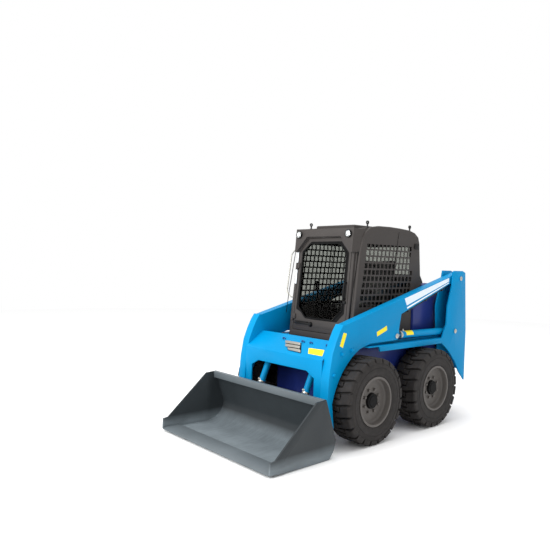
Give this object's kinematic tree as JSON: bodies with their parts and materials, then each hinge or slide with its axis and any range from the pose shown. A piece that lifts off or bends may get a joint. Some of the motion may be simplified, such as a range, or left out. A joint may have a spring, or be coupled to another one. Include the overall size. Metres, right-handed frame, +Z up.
{
  "type": "skid steer loader",
  "caption": "Compact skid steer loader with a cage cab, lift arms carrying a bucket, lift and tilt cylinders, front and rear doors and four free-turning wheels.",
  "frame": {"origin": "on the ground, under the middle of the whole machine's box with the bucket down", "axes": "+Z up, the bucket points to -Y, +X is the machine's left side"},
  "size_m": [1.51, 2.994, 2.022],
  "materials": {
    "light_blue": "gloss",
    "navy": "gloss",
    "cab_grey": "satin",
    "bucket_grey": "satin",
    "cast_grey": "matt",
    "engine": "matt",
    "glass": "gloss",
    "seat_vinyl": "satin",
    "black_plastic": "matt",
    "lamp_clear": "gloss",
    "lamp_red": "gloss",
    "black_steel": "satin",
    "chrome_rod": "polished",
    "tyre": "matt",
    "rim_grey": "satin"
  },
  "bodies": {
    "machine": {"chassis": "navy", "axle_stubs": "cast_grey", "towers": "light_blue", "rear_bumper": "cast_grey", "engine_block": "engine", "engine_hood": "navy", "rear_hinge_pins": "navy", "cab_front_frame": "cab_grey", "cab_sides": "cab_grey", "cab_roof": "cab_grey", "cab_rear_wall": "cab_grey", "cab_windows": "glass", "cab_floor": "cab_grey", "seat": "seat_vinyl", "control_levers": "black_plastic", "headlamps": "lamp_clear", "tail_lamps": "lamp_red", "lifting_eyes": "black_steel", "grab_hoop": "black_steel"},
    "front_door": {"cab_door": "cab_grey", "door_glass": "glass"},
    "rear_door": {"engine_door": "navy"},
    "lift_arms": {"arm_left": "light_blue", "arm_right": "light_blue", "cross_panel": "light_blue", "arm_pipes": "black_steel"},
    "bucket_unit": {"coupler": "bucket_grey", "bucket": "bucket_grey", "cutting_edge": "bucket_grey"},
    "lift_cylinder_left": {"lift_barrel_left": "light_blue"},
    "lift_ram_left": {"lift_rod_left": "chrome_rod"},
    "tilt_cylinder_left": {"tilt_barrel_left": "light_blue"},
    "tilt_ram_left": {"tilt_rod_left": "chrome_rod"},
    "lift_cylinder_right": {"lift_barrel_right": "light_blue"},
    "lift_ram_right": {"lift_rod_right": "chrome_rod"},
    "tilt_cylinder_right": {"tilt_barrel_right": "light_blue"},
    "tilt_ram_right": {"tilt_rod_right": "chrome_rod"},
    "wheel_front_left": {"tyre_front_left": "tyre", "rim_front_left": "rim_grey"},
    "wheel_front_right": {"tyre_front_right": "tyre", "rim_front_right": "rim_grey"},
    "wheel_rear_left": {"tyre_rear_left": "tyre", "rim_rear_left": "rim_grey"},
    "wheel_rear_right": {"tyre_rear_right": "tyre", "rim_rear_right": "rim_grey"}
  },
  "joints": [
    {"name": "arm_lift", "type": "hinge", "parent": "machine", "child": "lift_arms", "pos_m": [0, 1.339, 1.481], "axis": [-1, 0, 0], "range_deg": [0, 60]},
    {"name": "bucket_tilt", "type": "hinge", "parent": "lift_arms", "child": "bucket_unit", "pos_m": [0, -0.68, 0.19], "axis": [1, 0, 0], "range_deg": [-25, 98]},
    {"name": "front_door_swing", "type": "hinge", "parent": "machine", "child": "front_door", "pos_m": [-0.35, -0.24995, 0.86922], "axis": [0, -0.0874, -0.9962], "range_deg": [0, 100]},
    {"name": "rear_door_swing", "type": "hinge", "parent": "machine", "child": "rear_door", "pos_m": [0.438, 1.4333, 0.95], "axis": [0, 0, -1], "range_deg": [0, 100]},
    {"name": "lift_cylinder_swing_left", "type": "hinge", "parent": "machine", "child": "lift_cylinder_left", "pos_m": [0.555, 1.258, 0.916], "axis": [-1, 0, 0], "range_deg": [-1, 53.02]},
    {"name": "lift_ram_slide_left", "type": "slide", "parent": "lift_cylinder_left", "child": "lift_ram_left", "axis": [0, -1, 0.0088], "range_m": [-0.001, 0.544]},
    {"name": "tilt_cylinder_swing_left", "type": "hinge", "parent": "lift_arms", "child": "tilt_cylinder_left", "pos_m": [0.3, -0.5, 0.82], "axis": [1, 0, 0], "range_deg": [-3, 3]},
    {"name": "tilt_ram_slide_left", "type": "slide", "parent": "tilt_cylinder_left", "child": "tilt_ram_left", "axis": [0, -0.4173, -0.9088], "range_m": [-0.0576, 0.2229]},
    {"name": "lift_cylinder_swing_right", "type": "hinge", "parent": "machine", "child": "lift_cylinder_right", "pos_m": [-0.555, 1.258, 0.916], "axis": [-1, 0, 0], "range_deg": [-1, 53.02]},
    {"name": "lift_ram_slide_right", "type": "slide", "parent": "lift_cylinder_right", "child": "lift_ram_right", "axis": [0, -1, 0.0088], "range_m": [-0.001, 0.544]},
    {"name": "tilt_cylinder_swing_right", "type": "hinge", "parent": "lift_arms", "child": "tilt_cylinder_right", "pos_m": [-0.3, -0.5, 0.82], "axis": [1, 0, 0], "range_deg": [-3, 3]},
    {"name": "tilt_ram_slide_right", "type": "slide", "parent": "tilt_cylinder_right", "child": "tilt_ram_right", "axis": [0, -0.4173, -0.9088], "range_m": [-0.0576, 0.2229]},
    {"name": "wheel_spin_front_left", "type": "hinge", "parent": "machine", "child": "wheel_front_left", "pos_m": [0, -0.233, 0.3875], "axis": [1, 0, 0], "continuous": true},
    {"name": "wheel_spin_front_right", "type": "hinge", "parent": "machine", "child": "wheel_front_right", "pos_m": [0, -0.233, 0.3875], "axis": [1, 0, 0], "continuous": true},
    {"name": "wheel_spin_rear_left", "type": "hinge", "parent": "machine", "child": "wheel_rear_left", "pos_m": [0, 0.729, 0.3875], "axis": [1, 0, 0], "continuous": true},
    {"name": "wheel_spin_rear_right", "type": "hinge", "parent": "machine", "child": "wheel_rear_right", "pos_m": [0, 0.729, 0.3875], "axis": [1, 0, 0], "continuous": true}
  ],
  "couplings": [
    {"joint": "lift_cylinder_swing_left", "follows": "arm_lift", "ratio": 0.86708},
    {"joint": "lift_ram_slide_left", "follows": "arm_lift", "m_per_rad": 0.51857},
    {"joint": "tilt_cylinder_swing_left", "follows": "bucket_tilt", "ratio": 0.004412},
    {"joint": "tilt_ram_slide_left", "follows": "bucket_tilt", "m_per_rad": 0.12974},
    {"joint": "lift_cylinder_swing_right", "follows": "arm_lift", "ratio": 0.86708},
    {"joint": "lift_ram_slide_right", "follows": "arm_lift", "m_per_rad": 0.51857},
    {"joint": "tilt_cylinder_swing_right", "follows": "bucket_tilt", "ratio": 0.004412},
    {"joint": "tilt_ram_slide_right", "follows": "bucket_tilt", "m_per_rad": 0.12974}
  ]
}
